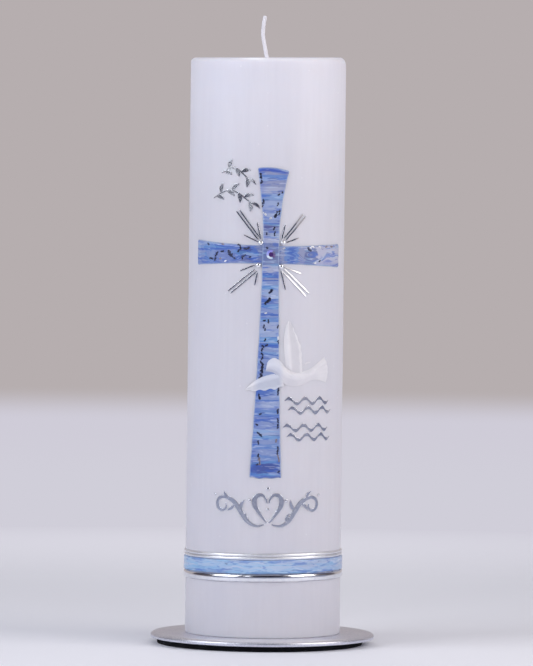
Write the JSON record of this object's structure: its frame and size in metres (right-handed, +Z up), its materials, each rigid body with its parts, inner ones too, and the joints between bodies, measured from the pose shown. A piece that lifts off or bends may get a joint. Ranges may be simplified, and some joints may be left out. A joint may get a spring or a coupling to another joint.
{
  "type": "baptism candle",
  "caption": "White wax pillar candle with a marbled blue cross, a wax dove, silver rays and bands round its foot, on a flat metal plate with a foam pad.",
  "frame": {"origin": "middle of the metal plate's footprint, on the surface that the foam pad stands on", "axes": "+Z up along the candle's axis, -Y towards the decorated side, +X to the right of someone looking at the cross"},
  "size_m": [0.101, 0.101, 0.2834],
  "materials": {
    "foam_pad": "matte",
    "plate_metal": "satin",
    "spike_steel": "satin",
    "candle_wax": "satin",
    "wick_cotton": "matte",
    "marbled_wax": "gloss",
    "pale_marbled_wax": "gloss",
    "silver_trim": "polished",
    "pearl_wax": "satin",
    "cut_glass": "polished"
  },
  "bodies": {
    "plate": {"foot_pad": "foam_pad", "candle_plate": "plate_metal", "plate_spike": "spike_steel"},
    "candle": {"candle_body": "candle_wax", "wick": "wick_cotton", "cross_bar": "marbled_wax", "cross_upright": "marbled_wax", "rhinestone": "cut_glass", "bead_upper_left": "silver_trim", "bead_upper_right": "silver_trim", "bead_lower_left": "silver_trim", "bead_lower_right": "silver_trim", "ray_upper_left_rise": "silver_trim", "ray_upper_left_inner": "silver_trim", "ray_upper_left_outer": "silver_trim", "ray_upper_left_side": "silver_trim", "ray_upper_right_rise": "silver_trim", "ray_upper_right_inner": "silver_trim", "ray_upper_right_outer": "silver_trim", "ray_upper_right_side": "silver_trim", "ray_lower_left_rise": "silver_trim", "ray_lower_left_inner": "silver_trim", "ray_lower_left_outer": "silver_trim", "ray_lower_left_side": "silver_trim", "ray_lower_right_rise": "silver_trim", "ray_lower_right_inner": "silver_trim", "ray_lower_right_outer": "silver_trim", "ray_lower_right_side": "silver_trim", "dove_body": "pearl_wax", "dove_upper_wing": "pearl_wax", "dove_lower_wing": "pearl_wax", "silver_band": "silver_trim", "blue_band": "pale_marbled_wax", "lower_silver_strip": "silver_trim", "upper_silver_strip": "silver_trim"}
  },
  "joints": [
    {"name": "candle_lift", "type": "slide", "parent": "plate", "child": "candle", "axis": [0, 0, 1], "range_m": [0, 0.03]}
  ]
}
